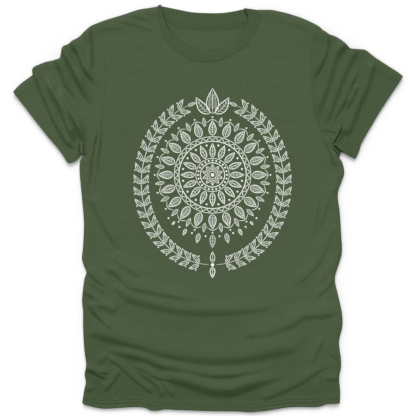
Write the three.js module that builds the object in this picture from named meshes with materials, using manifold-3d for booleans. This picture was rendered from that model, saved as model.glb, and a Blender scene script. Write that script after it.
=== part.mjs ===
// A crew-neck T-shirt laid flat with its front up: a front and a back panel, two set-in
// sleeves, a neckband of folded rib, a tape inside the back of the neck, and the ink film of
// a chest print. Units are millimetres. +X points to the wearer's left, +Y from the hem to the
// neck, and +Z up; the back panel lies on Z = 0 and the origin is the middle of its footprint.

import * as THREE from "three";
import { mergeVertices } from "three/addons/utils/BufferGeometryUtils.js";
import Module from "manifold-3d";

const wasm = await Module();
wasm.setup();

// Cloth
const CLOTH = 0.8; // one layer of jersey
const LAYER_GAP = 1.2; // air between the lower and the upper layer
const UPPER = CLOTH + LAYER_GAP; // underside of the upper layer
const SEAM_GAP = 0.3; // between pieces that are sewn edge to edge
const RIB = 2.0; // the neckband, two layers of rib and a seam allowance
const BAND_CROWN = 4.6; // top of the neckband's front
const TAPE = 0.6;
const TAPE_WIDTH = 11;
const INK = 0.2;
const CLOSED_EDGE = 1.4; // wall where a sleeve's two layers join
const SLOT_RUN_OUT = 6; // how far the slot between them runs past its open ends

// Outlines, each edge a smooth curve through its points, as [x, y].
const LEFT_SIDE = [
  [-219, 92], [-226, 84], [-227, 64], [-219, -24], [-223, -86], [-215, -113], [-223, -161],
  [-219, -247], [-215, -276], [-219, -293], [-216, -307], [-222, -344],
];
const HEM = [
  [-222, -344], [-198, -353], [-159, -353], [-122, -352], [-96, -358], [-74, -356], [4, -359],
  [73, -361], [147, -352], [191, -352], [209, -347], [233, -345],
];
const RIGHT_SIDE = [
  [233, -345], [232, -300], [235, -276], [232, -233], [238, -201], [224, -124], [237, -77],
  [229, 25], [241, 62], [232, 89],
];
const RIGHT_ARMHOLE = [[232, 89], [216, 109], [199, 137], [185, 185], [182, 245], [184, 290], [196, 322]];
const RIGHT_SHOULDER = [[196, 322], [166, 337], [124, 349], [88, 351]];
const LEFT_SHOULDER = [[-89, 358], [-124, 351], [-164, 339], [-202, 325]];
const LEFT_ARMHOLE = [
  [-202, 325], [-189, 305], [-183, 255], [-183, 201], [-189, 146], [-205, 106], [-219, 92],
];

const LEFT_SLEEVE_TOP = [
  [-202, 325], [-219, 312], [-253, 287], [-261, 272], [-264, 263], [-287, 259], [-309, 247],
  [-310, 237], [-345, 206],
];
const LEFT_SLEEVE_HEM = [[-345, 206], [-287, 131], [-248, 80]];
const LEFT_UNDERARM = [[-248, 80], [-234, 84], [-226, 94], [-219, 92]];
const RIGHT_SLEEVE_TOP = [
  [196, 322], [211, 309], [223, 305], [250, 284], [275, 281], [294, 268], [345, 233],
];
const RIGHT_SLEEVE_HEM = [[345, 233], [306, 174], [272, 115], [261, 88]];
const RIGHT_UNDERARM = [[261, 88], [244, 96], [235, 98], [232, 89]];

const FRONT_NECK_SEAM = [
  [-89, 358], [-87, 340], [-82, 311], [-62, 281], [-30, 262], [4, 259], [35, 267], [65, 286],
  [85, 313], [92, 333], [88, 351],
];
const FRONT_NECK_EDGE = [
  [-82, 360], [-75, 335], [-64, 311], [-43, 289], [-13, 277], [14, 277], [44, 289], [62, 309],
  [72, 337], [66, 353],
];
const BACK_NECK_SEAM = [[-89, 358], [-77, 339], [-50, 329], [0, 325], [46, 327], [73, 335], [88, 351]];
const BACK_NECK_EDGE = [[-82, 360], [-57, 353], [-28, 347], [0, 346], [25, 346], [46, 349], [66, 353]];

// Folds: each crest is a smooth curve through its points; height and spread are its
// section's, and it fades out at both ends.
const FRONT_FOLDS = [
  { crest: [[-177, -106], [-131, -134], [-76, -146], [-32, -153]], height: 3, spread: 14 },
  {
    crest: [[-159, -148], [-103, -161], [-5, -176], [96, -169], [159, -134], [202, -77]],
    height: 7,
    spread: 13,
  },
  { crest: [[-212, -214], [-115, -238], [0, -260], [110, -251], [173, -228]], height: 7, spread: 12 },
  { crest: [[-177, -244], [-94, -267], [-5, -288], [96, -283], [163, -254]], height: 5, spread: 9 },
  { crest: [[-131, -272], [-76, -295], [12, -311], [96, -293], [156, -279]], height: 10, spread: 12 },
  { crest: [[106, -325], [152, -309], [195, -279], [223, -269]], height: 7, spread: 12 },
  { crest: [[85, -221], [131, -208], [173, -184], [230, -176]], height: 5, spread: 12 },
  { crest: [[-205, 1], [-181, -31], [-154, -70], [-138, -106]], height: 4, spread: 14 },
  { crest: [[-193, -269], [-170, -265], [-138, -297], [-103, -325]], height: 7, spread: 10 },
  { crest: [[-191, 142], [-200, 103], [-209, 41]], height: 4, spread: 12 },
  { crest: [[202, 132], [223, 94], [233, 60]], height: 4, spread: 12 },
];
const LEFT_SLEEVE_FOLDS = [
  { crest: [[-297, 250], [-276, 192], [-248, 110]], height: 8, spread: 12 },
  { crest: [[-273, 258], [-257, 195], [-232, 120]], height: 7, spread: 9 },
  { crest: [[-256, 275], [-244, 220], [-219, 150]], height: 9, spread: 10 },
  { crest: [[-219, 306], [-214, 262], [-200, 214]], height: 3, spread: 10 },
];
const RIGHT_SLEEVE_FOLDS = [
  { crest: [[304, 255], [290, 195], [266, 128]], height: 8, spread: 12 },
  { crest: [[278, 272], [264, 206], [244, 145]], height: 6, spread: 9 },
  { crest: [[248, 280], [234, 241], [216, 175]], height: 5, spread: 10 },
  { crest: [[219, 300], [208, 245], [200, 190]], height: 3, spread: 10 },
];

// Print: an oval field on the chest.
const PRINT = { x: 8, y: 45, halfWidth: 146, halfHeight: 168 };

// Lattice lines: wide cells on the flat chest, narrow ones across the folds below it.
const COLUMN = 22;
const CHEST_ROW = 26;
const FOLD_ROW = 13;
const SLEEVE_CELL = 15;
const EDGE_STEP = 14; // between the points that an outline is cut at
const CREST_STEPS = 24;

const PALETTE = {
  jersey: { color: new THREE.Color().setRGB(0.070, 0.105, 0.053), roughness: 0.92, metalness: 0 },
  rib: { color: new THREE.Color().setRGB(0.066, 0.100, 0.050), roughness: 0.94, metalness: 0 },
  tape: { color: new THREE.Color().setRGB(0.064, 0.097, 0.049), roughness: 0.9, metalness: 0 },
  ink: { color: new THREE.Color().setRGB(0.82, 0.86, 0.77), roughness: 0.75, metalness: 0 },
};

// ---- curves and outlines ----

function curveThrough(points) {
  return new THREE.SplineCurve(points.map(([x, y]) => new THREE.Vector2(x, y)));
}

// Points along an edge without its last one, which the next edge starts with.
function edgePoints(points) {
  const curve = curveThrough(points);
  const steps = Math.max(1, Math.round(curve.getLength() / EDGE_STEP));
  return curve.getSpacedPoints(steps).slice(0, -1);
}

function outline(...edges) {
  return edges.flatMap(edgePoints);
}

function reversed(points) {
  return [...points].reverse();
}

// An edge moved away from its neighbour's, towards a point inside its own piece.
function pulledTo([cx, cy], points, distance = SEAM_GAP) {
  return points.map(([x, y]) => {
    const length = Math.hypot(cx - x, cy - y);
    return [x + ((cx - x) / length) * distance, y + ((cy - y) / length) * distance];
  });
}

// ---- solids ----

function solidOf(geometry) {
  const bare = geometry.clone();
  bare.deleteAttribute("normal");
  bare.deleteAttribute("uv");
  const merged = mergeVertices(bare, 1e-3);
  return new wasm.Manifold(
    new wasm.Mesh({
      numProp: 3,
      vertProperties: new Float32Array(merged.attributes.position.array),
      triVerts: new Uint32Array(merged.index.array),
    }),
  );
}

function geometryOf(solid) {
  const { vertProperties, triVerts } = solid.getMesh();
  const geometry = new THREE.BufferGeometry()
    .setAttribute("position", new THREE.BufferAttribute(vertProperties, 3))
    .setIndex(new THREE.BufferAttribute(triVerts, 1))
    .toNonIndexed();
  geometry.computeVertexNormals();
  return geometry;
}

// An upright block with the given outline, from z = low to z = high.
function block(points, low, high) {
  const geometry = new THREE.ExtrudeGeometry(new THREE.Shape(points), {
    depth: high - low,
    bevelEnabled: false,
  });
  return solidOf(geometry.translate(0, 0, low));
}

function latticeLines(from, to, step) {
  const count = Math.ceil((to - from) / step);
  return Array.from({ length: count + 1 }, (_, i) => from + i * step);
}

// A closed slab over a lattice: its surfaces stand `low` and `high` above `rise(x, y)`.
function slab(columns, rows, rise, low, high) {
  const across = columns.length;
  const layerSize = across * rows.length;
  const positions = [];
  for (const level of [low, high])
    for (const y of rows)
      for (const x of columns) positions.push(x, y, rise(x, y) + level);

  const faces = [];
  const quad = (a, b, c, d) => faces.push(a, b, c, a, c, d);
  for (let j = 0; j + 1 < rows.length; j++)
    for (let i = 0; i + 1 < across; i++) {
      const a = j * across + i;
      quad(a, a + across, a + across + 1, a + 1);
      quad(a + layerSize, a + layerSize + 1, a + layerSize + across + 1, a + layerSize + across);
    }
  const wall = (a, b) => quad(a, b, b + layerSize, a + layerSize);
  const lastRow = layerSize - across;
  for (let i = 0; i + 1 < across; i++) {
    wall(i, i + 1);
    wall(lastRow + i + 1, lastRow + i);
  }
  for (let j = 0; j + 1 < rows.length; j++) {
    wall((j + 1) * across, j * across);
    wall(j * across + across - 1, (j + 1) * across + across - 1);
  }
  const geometry = new THREE.BufferGeometry()
    .setAttribute("position", new THREE.Float32BufferAttribute(positions, 3))
    .setIndex(faces);
  return solidOf(geometry);
}

// ---- folds ----

// Height of the cloth above its flat lie at (x, y), for a list of folds.
function riseOver(folds) {
  const crests = folds.map(({ crest, height, spread }) => ({
    points: curveThrough(crest).getSpacedPoints(CREST_STEPS),
    height,
    spread,
  }));
  return (x, y) => {
    let total = 0;
    for (const { points, height, spread } of crests) {
      let nearest = Infinity;
      let along = 0;
      points.forEach((p, i) => {
        const distance = Math.hypot(p.x - x, p.y - y);
        if (distance < nearest) {
          nearest = distance;
          along = i / CREST_STEPS;
        }
      });
      const fade = Math.sqrt(Math.sin(Math.PI * (0.03 + 0.94 * along)));
      total += height * fade * Math.exp(-((nearest / spread) ** 2));
    }
    return total;
  };
}

// ---- pieces ----

const HIGH = 60; // above every fold, for the blocks that slabs are cut with
const frontRise = riseOver(FRONT_FOLDS);
const bodyColumns = latticeLines(-240, 260, COLUMN);
const bodyRows = [
  ...latticeLines(-380, -94, FOLD_ROW),
  ...latticeLines(-94 + CHEST_ROW, 362, CHEST_ROW),
];

function bodyOutline(neckSeam) {
  return outline(
    neckSeam, reversed(RIGHT_SHOULDER), reversed(RIGHT_ARMHOLE), reversed(RIGHT_SIDE),
    reversed(HEM), reversed(LEFT_SIDE), reversed(LEFT_ARMHOLE), reversed(LEFT_SHOULDER),
  );
}

function frontPanel() {
  const cloth = slab(bodyColumns, bodyRows, frontRise, UPPER, UPPER + CLOTH);
  return cloth.intersect(block(bodyOutline(FRONT_NECK_SEAM), -1, HIGH));
}

function backPanel() {
  return block(bodyOutline(BACK_NECK_SEAM), 0, CLOTH);
}

// An edge made longer at both ends, along its own direction.
function lengthened(points, by) {
  const beyond = ([ax, ay], [cx, cy]) => {
    const length = Math.hypot(ax - cx, ay - cy);
    return [ax + ((ax - cx) / length) * by, ay + ((ay - cy) / length) * by];
  };
  const last = points.length - 1;
  return [beyond(points[0], points[1]), ...points, beyond(points[last], points[last - 1])];
}

// A sleeve is one tube of cloth pressed flat: its two layers rise together over the folds,
// and the slot between them runs out at the hem and at the armhole.
function sleeve({ middle, armhole, top, hem, underarm, folds }) {
  const seam = pulledTo(middle, armhole);
  const topEdge = [seam[seam.length - 1], ...top.slice(1)];
  const underEdge = [...underarm.slice(0, -1), seam[0]];
  const whole = outline(seam, topEdge, hem, underEdge);

  const slotTop = lengthened(pulledTo(middle, topEdge, CLOSED_EDGE), SLOT_RUN_OUT);
  const slotUnder = lengthened(pulledTo(middle, underEdge, CLOSED_EDGE), SLOT_RUN_OUT);
  const slotSeam = [
    slotUnder[slotUnder.length - 1],
    ...pulledTo(middle, armhole.slice(1, -1), -SLOT_RUN_OUT),
    slotTop[0],
  ];
  const inner = outline(slotSeam, slotTop, [slotTop[slotTop.length - 1], slotUnder[0]], slotUnder);

  const xs = whole.map((p) => p.x);
  const ys = whole.map((p) => p.y);
  const margin = 2 * SLOT_RUN_OUT;
  const columns = latticeLines(Math.min(...xs) - margin, Math.max(...xs) + margin, SLEEVE_CELL);
  const rows = latticeLines(Math.min(...ys) - margin, Math.max(...ys) + margin, SLEEVE_CELL);
  const rise = riseOver(folds);
  const cloth = slab(columns, rows, rise, 0, UPPER + CLOTH).intersect(block(whole, -1, HIGH));
  const slot = slab(columns, rows, rise, CLOTH, UPPER).intersect(block(inner, -1, HIGH));
  return cloth.subtract(slot);
}

function neckband() {
  const middle = [0, 318];
  const frontSeam = pulledTo(middle, FRONT_NECK_SEAM);
  const backSeam = pulledTo([0, 345], BACK_NECK_SEAM);
  const front = outline(
    frontSeam,
    [frontSeam[frontSeam.length - 1], FRONT_NECK_EDGE[FRONT_NECK_EDGE.length - 1]],
    reversed(FRONT_NECK_EDGE),
    [FRONT_NECK_EDGE[0], frontSeam[0]],
  );
  const back = outline(
    backSeam,
    [backSeam[backSeam.length - 1], BACK_NECK_EDGE[BACK_NECK_EDGE.length - 1]],
    reversed(BACK_NECK_EDGE),
    [BACK_NECK_EDGE[0], backSeam[0]],
  );
  return block(front, RIB - 0.1, BAND_CROWN).add(block(back, 0, RIB));
}

// The tape lies along the back neck seam, just below the band.
function neckTape() {
  const upper = BACK_NECK_SEAM.slice(1, -1).map(([x, y]) => [x, y - 1]);
  const lower = upper.map(([x, y]) => [x, y - TAPE_WIDTH]);
  const strip = outline(
    reversed(upper),
    [upper[0], lower[0]],
    lower,
    [lower[lower.length - 1], upper[upper.length - 1]],
  );
  const floor = CLOTH + SEAM_GAP;
  return block(strip, floor, floor + TAPE);
}

// The ink lies on the front panel and follows the same lattice, so the two never touch.
function frontPrint() {
  const floor = UPPER + CLOTH + SEAM_GAP;
  const film = slab(bodyColumns, bodyRows, frontRise, floor, floor + INK);
  const oval = new THREE.EllipseCurve(PRINT.x, PRINT.y, PRINT.halfWidth, PRINT.halfHeight);
  return film.intersect(block(oval.getPoints(64).slice(0, -1), -1, HIGH));
}

// ---- assembly ----

const shirt = new THREE.Group();

function addPiece(name, solid, finish) {
  const mesh = new THREE.Mesh(geometryOf(solid), new THREE.MeshStandardMaterial(finish));
  mesh.name = name;
  shirt.add(mesh);
}

addPiece("back_panel", backPanel(), PALETTE.jersey);
addPiece("front_panel", frontPanel(), PALETTE.jersey);
addPiece(
  "sleeve_right",
  sleeve({
    middle: [-262, 190],
    armhole: reversed(LEFT_ARMHOLE),
    top: LEFT_SLEEVE_TOP,
    hem: LEFT_SLEEVE_HEM,
    underarm: LEFT_UNDERARM,
    folds: LEFT_SLEEVE_FOLDS,
  }),
  PALETTE.jersey,
);
addPiece(
  "sleeve_left",
  sleeve({
    middle: [264, 190],
    armhole: RIGHT_ARMHOLE,
    top: RIGHT_SLEEVE_TOP,
    hem: RIGHT_SLEEVE_HEM,
    underarm: RIGHT_UNDERARM,
    folds: RIGHT_SLEEVE_FOLDS,
  }),
  PALETTE.jersey,
);
addPiece("neckband", neckband(), PALETTE.rib);
addPiece("neck_tape", neckTape(), PALETTE.tape);
addPiece("front_print", frontPrint(), PALETTE.ink);

export default shirt;
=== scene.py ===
import math

import bpy
import numpy as np
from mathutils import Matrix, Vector
from mathutils.bvhtree import BVHTree
from mathutils.geometry import delaunay_2d_cdt
from mathutils.kdtree import KDTree


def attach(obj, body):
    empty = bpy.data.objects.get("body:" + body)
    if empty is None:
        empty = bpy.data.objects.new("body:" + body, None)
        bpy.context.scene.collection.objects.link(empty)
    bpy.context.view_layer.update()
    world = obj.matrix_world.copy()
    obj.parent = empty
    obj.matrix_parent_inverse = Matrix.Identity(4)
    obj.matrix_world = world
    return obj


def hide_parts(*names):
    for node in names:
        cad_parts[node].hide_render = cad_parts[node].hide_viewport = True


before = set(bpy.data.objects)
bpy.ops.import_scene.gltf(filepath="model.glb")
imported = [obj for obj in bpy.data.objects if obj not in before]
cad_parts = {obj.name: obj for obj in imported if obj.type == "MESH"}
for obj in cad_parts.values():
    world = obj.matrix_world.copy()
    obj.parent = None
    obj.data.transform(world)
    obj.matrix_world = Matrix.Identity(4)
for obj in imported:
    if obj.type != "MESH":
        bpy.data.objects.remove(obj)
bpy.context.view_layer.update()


# ---- Back panel ----
# One piece of single jersey that lies on the table. Its sides, shoulders and armholes are sewn to
# the front and the sleeves, and its hem is turned up inside. Only its inside shows, at the neck.
JERSEY = 0.0007  # thickness of one layer
SIDE_LEVEL = 0.0050  # height of the side seams, where the front and the back meet
MESH_STEP = 0.0038  # between the spots of a cloth's mesh, away from edges and folds
EDGE_STEP = 0.0028  # between the points of an outline
HEM_DEPTH = 0.0165  # how far a hem is turned up
HEM_STITCH_ROWS = (0.0065, 0.0130)  # their distances from a hem's edge

# Outlines of the shirt as it lies. Left and right are those of the plan, seen from above, so that
# what is left here is on the wearer's right.
LEFT_SIDE = [
    (-.219, .092), (-.226, .085), (-.227, .064), (-.223, .02), (-.2195, -.024), (-.221, -.067),
    (-.223, -.088), (-.2195, -.101), (-.215, -.113), (-.219, -.127), (-.2228, -.161), (-.221, -.182),
    (-.221, -.208), (-.219, -.247), (-.2155, -.276), (-.2182, -.293), (-.216, -.307), (-.219, -.322),
    (-.2225, -.344),
]
HEM = [
    (-.2225, -.344), (-.218, -.3475), (-.209, -.35), (-.198, -.353), (-.182, -.3548), (-.159, -.3535),
    (-.135, -.352), (-.119, -.3522), (-.11, -.354), (-.101, -.3578), (-.09, -.3582), (-.074, -.356),
    (-.05, -.3572), (.004, -.359), (.05, -.3595), (.073, -.361), (.096, -.3592), (.12, -.3558),
    (.147, -.352), (.191, -.3518), (.203, -.3495), (.211, -.3468), (.233, -.345),
]
RIGHT_SIDE = [
    (.233, -.345), (.2338, -.325), (.232, -.3), (.2352, -.281), (.235, -.265), (.2325, -.247),
    (.232, -.233), (.237, -.212), (.238, -.201), (.2365, -.182), (.23, -.153), (.2245, -.124),
    (.2325, -.095), (.237, -.077), (.2355, -.045), (.233, -.007), (.2295, .025), (.236, .047),
    (.241, .062), (.238, .08), (.232, .089),
]
RIGHT_ARMHOLE = [
    (.232, .089), (.216, .109), (.199, .137), (.189, .163), (.185, .185), (.182, .245), (.184, .29),
    (.196, .322),
]
RIGHT_SHOULDER = [
    (.196, .322), (.184, .3285), (.166, .3365), (.145, .3435), (.124, .3488), (.11, .351), (.088, .351),
]
LEFT_SHOULDER = [
    (-.089, .357), (-.103, .3545), (-.124, .351), (-.152, .3418), (-.181, .333), (-.202, .325),
]
LEFT_ARMHOLE = [
    (-.202, .325), (-.189, .305), (-.184, .28), (-.183, .255), (-.183, .201), (-.189, .146),
    (-.205, .106), (-.219, .092),
]
BACK_NECK_SEAM = [
    (-.089, .357), (-.077, .338), (-.05, .328), (.0, .3235), (.046, .326), (.073, .334), (.088, .351),
]

# Distances from each kind of edge at which the cloth's mesh has a row of its own.
SEAM_ROWS = (0.0004, 0.0009, 0.0017, 0.003)
FOLD_ROWS = (0.0003, 0.0009, 0.0018, 0.0030, 0.0045)
HEM_ROWS = (0.0003, 0.0008, 0.0016) + tuple(
    row + offset for row in HEM_STITCH_ROWS for offset in (-0.0008, 0, 0.0008)
) + (HEM_DEPTH - 0.0007, HEM_DEPTH + 0.0007)


CURVE_STEPS = 24  # points of a smooth curve from one given point to the next
BATCH = 2000  # spots that are measured at once


def run_of(line):
    """How far along a line each of its points is."""
    return np.concatenate([[0], np.cumsum(np.linalg.norm(np.diff(line, axis=0), axis=1))])


def spaced(line, count):
    """That many points, evenly spaced along a line."""
    run = run_of(line)
    marks = np.linspace(0, run[-1], count)
    return np.stack([np.interp(marks, run, axis) for axis in line.T], axis=1)


def smooth_line(points, step=EDGE_STEP):
    """Evenly spaced points on the smooth curve through some points."""
    points = np.asarray(points, float)
    before = np.vstack([points[:1], points[:-1]])[:-1]
    start, end = points[:-1], points[1:]
    after = np.vstack([points[1:], points[-1:]])[1:]
    t = np.linspace(0, 1, CURVE_STEPS, endpoint=False)[:, None, None]
    leave, arrive = (end - before) / 2, (after - start) / 2
    dense = (
        (2 * start - 2 * end + leave + arrive) * t**3
        + (3 * end - 3 * start - 2 * leave - arrive) * t**2
        + leave * t
        + start
    )
    dense = np.vstack([dense.transpose(1, 0, 2).reshape(-1, points.shape[1]), points[-1:]])
    return spaced(dense, max(1, round(run_of(dense)[-1] / step)) + 1)


def nearest_on(spots, line):
    """Each spot's distance to a line, how far along the line it is, and the side: 1 is left."""
    start, leg = line[:-1], np.diff(line, axis=0)
    length = np.linalg.norm(leg, axis=1)
    run = run_of(line)
    near, along, side = np.empty(len(spots)), np.empty(len(spots)), np.empty(len(spots))
    for first in range(0, len(spots), BATCH):
        part = slice(first, first + BATCH)
        x = spots[part, :1] - start[:, 0]
        y = spots[part, 1:] - start[:, 1]
        share = np.clip((x * leg[:, 0] + y * leg[:, 1]) / length**2, 0, 1)
        x -= share * leg[:, 0]
        y -= share * leg[:, 1]
        gap = x * x + y * y
        best = gap.argmin(1)
        rows = np.arange(len(best))
        near[part] = np.sqrt(gap[rows, best])
        along[part] = run[best] + share[rows, best] * length[best]
        side[part] = leg[best, 0] * y[rows, best] - leg[best, 1] * x[rows, best]
    return near, along, np.sign(side)


def offset_line(line, distance):
    """The line moved to its left by a distance, which may differ along it."""
    ahead = np.gradient(line, axis=0)
    left = np.stack([-ahead[:, 1], ahead[:, 0]], axis=1) / np.hypot(*ahead.T)[:, None]
    return line + left * np.reshape(distance, (-1, 1))


def inside(spots, loop):
    """Whether each spot is inside a closed loop of points."""
    found = np.zeros(len(spots), bool)
    for (x0, y0), (x1, y1) in zip(loop, np.roll(loop, -1, axis=0)):
        if y0 != y1:
            spans = (spots[:, 1] > min(y0, y1)) & (spots[:, 1] <= max(y0, y1))
            found ^= spans & (spots[:, 0] < x0 + (spots[:, 1] - y0) * (x1 - x0) / (y1 - y0))
    return found


ROW_SHARE = 0.96  # a row's spot that is nearer than this share of its distance to any edge is dropped
CREASE_CLEARANCE = 0.0012  # least distance from an edge to a fold's spot
GRID_CLEARANCE = 0.55  # least distance from the plain grid to any other spot, in mesh steps
SAME_SPOT = 1e-7


def cut_out(edges, crease_spots):
    """The plan of a piece of cloth inside a loop of edges, each (name, points, rows)."""
    lines = {name: smooth_line(points) for name, points, rows in edges}
    loop = np.vstack([line[:-1] for line in lines.values()])
    border = np.vstack([loop, loop[:1]])
    rows_of_spots = []
    for name, points, rows in edges:
        for row in rows:
            spots = offset_line(lines[name], row)
            rows_of_spots.append(spots[nearest_on(spots, border)[0] > row * ROW_SHARE])
    near = ((crease_spots > loop.min(0)) & (crease_spots < loop.max(0))).all(1)
    spots = crease_spots[near]
    rows_of_spots.append(spots[nearest_on(spots, border)[0] > CREASE_CLEARANCE])
    rows_of_spots = np.vstack(rows_of_spots)

    low, high = loop.min(0), loop.max(0)
    ys = np.arange(low[1], high[1], MESH_STEP * math.sqrt(3) / 2)
    xs = np.arange(low[0], high[0], MESH_STEP)
    grid = [np.column_stack([xs + i % 2 * MESH_STEP / 2, xs * 0 + y]) for i, y in enumerate(ys)]
    grid = np.vstack(grid)
    grid = grid[inside(grid, loop)]
    taken = KDTree(len(rows_of_spots) + len(loop))
    for i, (x, y) in enumerate(np.vstack([rows_of_spots, loop])):
        taken.insert((x, y, 0), i)
    taken.balance()
    grid = grid[[taken.find((x, y, 0))[2] > MESH_STEP * GRID_CLEARANCE for x, y in grid]]

    spots = np.vstack([loop, rows_of_spots[inside(rows_of_spots, loop)], grid])
    outline = [(i, (i + 1) % len(loop)) for i in range(len(loop))]
    found = delaunay_2d_cdt([Vector(s) for s in spots], outline, [], 0, SAME_SPOT, False)
    spots, triangles = np.array([tuple(v) for v in found[0]]), np.array(found[2])
    return spots, triangles[inside(spots[triangles].mean(1), loop)], lines


def rounded(gap, radius):
    """0 at an edge, rising to 1 on a quarter circle of that radius."""
    return np.sqrt(1 - (1 - np.clip(gap / radius, 0, 1)) ** 2)


def within(gap, reach, blur=0.0004):
    """1 nearer to an edge than reach, and 0 beyond it."""
    return 1 / (1 + np.exp(np.clip((gap - reach) / blur, -40, 40)))


def normals_of(points, faces):
    corner = points[faces]
    flat = np.cross(corner[:, 1] - corner[:, 0], corner[:, 2] - corner[:, 0])
    summed = np.zeros_like(points)
    for i in range(3):
        np.add.at(summed, faces[:, i], flat)
    return summed / np.linalg.norm(summed, axis=1)[:, None]


def thickened(points, faces, thickness):
    """A closed skin: the outer face, a copy of it set inwards, and a wall where the cloth ends."""
    inner = points - normals_of(points, faces) * np.reshape(thickness, (-1, 1))
    count = len(points)
    a, b = faces.ravel(), np.roll(faces, -1, axis=1).ravel()
    single = ~np.isin(a * count + b, b * count + a)
    a, b = a[single], b[single]
    walls = np.stack([b, a, a + count, b + count], axis=1)
    skins = np.vstack([faces, faces[:, ::-1] + count])
    return np.vstack([points, inner]), skins.tolist() + walls.tolist()


def add_piece(name, points, faces, material, body="root"):
    mesh = bpy.data.meshes.new(name)
    mesh.from_pydata(points.tolist(), [], faces)
    mesh.shade_smooth()
    mesh.materials.append(material)
    piece = bpy.data.objects.new(name, mesh)
    bpy.context.scene.collection.objects.link(piece)
    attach(piece, body)
    return piece


WAVES = 28
WAVELENGTH_SPREAD = (0.7, 1.5)  # shortest and longest wave, as shares of the wavelength asked for


def tube(count, size, first=0, closed=False, flipped=False):
    """Faces of a tube through rings of points, closed on itself or else with a cap at both ends."""
    faces = []
    for i in range(count if closed else count - 1):
        here, there = first + i * size, first + (i + 1) % count * size
        for j in range(size):
            k = (j + 1) % size
            corners = (there + j, there + k, here + k) if flipped else (here + k, there + k, there + j)
            faces.append((here + j, *corners))
    if not closed:
        last = first + (count - 1) * size
        caps = tuple(range(first, first + size))[::-1], tuple(range(last, last + size))
        faces += [cap[::-1] if flipped else cap for cap in caps]
    return faces


def undulation(spots, wavelength, seed, stretch=(1, 1)):
    """Smooth seeded unevenness of about that wavelength, mostly between -2 and 2."""
    rng = np.random.default_rng(seed)
    angle = rng.uniform(0, 2 * np.pi, WAVES)
    waves = 2 * np.pi / (wavelength * rng.uniform(*WAVELENGTH_SPREAD, WAVES))
    phase = rng.uniform(0, 2 * np.pi, WAVES)
    x, y = spots[:, 0, None] / stretch[0], spots[:, 1, None] / stretch[1]
    return np.cos((x * np.cos(angle) + y * np.sin(angle)) * waves + phase).sum(1) * math.sqrt(2 / WAVES)


WALE = 0.00080  # breadth of a column of loops
COURSE = 0.00060  # height of a loop
LEG_SLANT = 1.8  # courses that a loop's legs climb for each wale across
LEG_RISE = 1.6  # relief from a wale's edges towards its middle, for each wale across
LOOP_RISE = 0.4  # relief of the single loops
HEATHER = ((0.36, 0.89), (0.5, 1.0), (0.64, 1.12))  # a streak's strength, and its share of the green
# Painted shade: the lower body is coloured a little darker, standing in for light that falls off towards
# the hem. It darkens from and to these lines above the middle of the shirt, with the share of the shade
# at the lower and at the upper one. The lines slant by this much.
HEM_SHADE_RAMP = (-0.32, -0.09, 0.87, 1.0)
HEM_SHADE_SLANT = 0.16
# Painted shade in the folds: the share of red, green and blue that is left where the painted shade is
# fullest:
# on a surface whose normal leans this far towards the hem, away from the light, or where the painted
# shade of the lower body takes this share of the shade away.
PAINTED_SHADE_TINT = (0.84, 1.0, 0.74, 1)
FULL_SHADE_SLOPE = 0.55
FULL_HEM_SHADE = 0.40


def new_material(name, roughness, specular=0.5):
    """A material with those constants, and the nodes, links and shader to build its colour with."""
    material = bpy.data.materials.new(name)
    material.use_nodes = True
    nodes, links = material.node_tree.nodes, material.node_tree.links
    shader = nodes["Principled BSDF"]
    shader.inputs["Roughness"].default_value = roughness
    shader.inputs["Specular IOR Level"].default_value = specular
    return material, nodes, links, shader


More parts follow.
